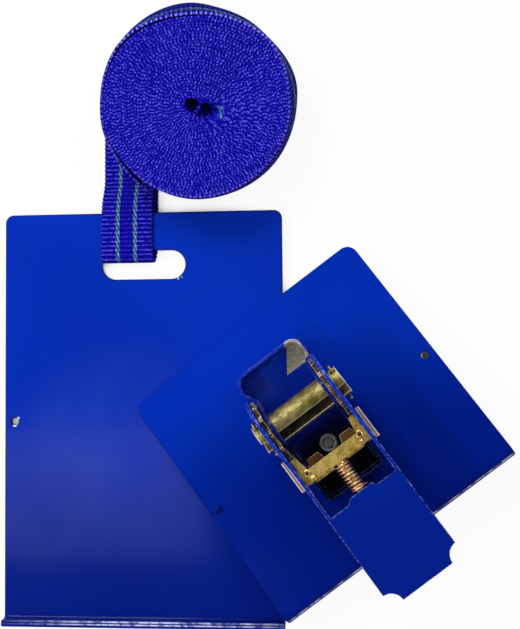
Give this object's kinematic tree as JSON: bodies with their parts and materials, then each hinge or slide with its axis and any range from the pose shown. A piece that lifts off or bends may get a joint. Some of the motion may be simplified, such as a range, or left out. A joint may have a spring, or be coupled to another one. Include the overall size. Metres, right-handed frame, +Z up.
{
  "type": "ratchet band clamp",
  "caption": "Band clamp of two lipped steel plates: one is looped to a rolled webbing strap through its slot, the other carries a lever ratchet with a slotted spool and toothed wheels.",
  "frame": {"origin": "centre of the bounding box of the hard pieces, on the surface that the clamp lies on; the webbing is left out of that box", "axes": "+Z up from the surface; +Y from the strap plate's lip towards its slot and the rolled webbing; +X from the strap plate towards the ratchet plate"},
  "size_m": [0.2266, 0.2813, 0.0472],
  "materials": {
    "blue_paint": "glossy royal blue paint",
    "blue_zinc": "glossy royal blue paint",
    "webbing": "woven blue webbing with two pale green stripes",
    "yellow_zinc": "yellow zinc plated",
    "grey_zinc": "bright zinc plated",
    "copper_wire": "copper-coloured wire"
  },
  "bodies": {
    "strap_side": {"strap_plate": "blue_paint", "strap_lead": "webbing", "strap_coil": "webbing", "loop_stitching": "webbing"},
    "ratchet_side": {"ratchet_plate": "blue_paint", "base_frame": "blue_zinc", "base_bolt": "grey_zinc", "base_washer": "grey_zinc", "base_nut": "grey_zinc", "lock_pawl_spring": "copper_wire"},
    "spool": {"spool_half_a": "yellow_zinc", "spool_half_b": "yellow_zinc", "ratchet_wheel_left": "yellow_zinc", "ratchet_wheel_right": "yellow_zinc", "cotter_pin_left": "yellow_zinc", "cotter_pin_right": "yellow_zinc"},
    "lever": {"handle": "blue_zinc", "drive_pawl_spring": "copper_wire"},
    "drive_slider": {"drive_pawl": "yellow_zinc"},
    "lock_slider": {"lock_pawl": "yellow_zinc"}
  },
  "joints": [
    {"name": "ratchet_lift", "type": "slide", "parent": "strap_side", "child": "ratchet_side", "axis": [0, 0, 1], "range_m": [0, 0.12]},
    {"name": "spool_turn", "type": "hinge", "parent": "ratchet_side", "child": "spool", "pos_m": [0.0227, 0.00416, 0.02959], "axis": [-0.8018, -0.5976, 0], "continuous": true},
    {"name": "handle_swing", "type": "hinge", "parent": "ratchet_side", "child": "lever", "pos_m": [0.0227, 0.00416, 0.02959], "axis": [-0.8018, -0.5976, 0], "range_deg": [0, 145]},
    {"name": "drive_pawl_slide", "type": "slide", "parent": "lever", "child": "drive_slider", "axis": [0.5948, -0.798, 0.0965], "range_m": [0, 0.004], "stiffness_N_per_m": 600, "springref_m": -0.003, "deforming": ["drive_pawl_spring"]},
    {"name": "lock_pawl_slide", "type": "slide", "parent": "ratchet_side", "child": "lock_slider", "axis": [0.5948, -0.798, 0.0965], "range_m": [0, 0.003], "stiffness_N_per_m": 400, "springref_m": -0.003, "deforming": ["lock_pawl_spring"]}
  ]
}
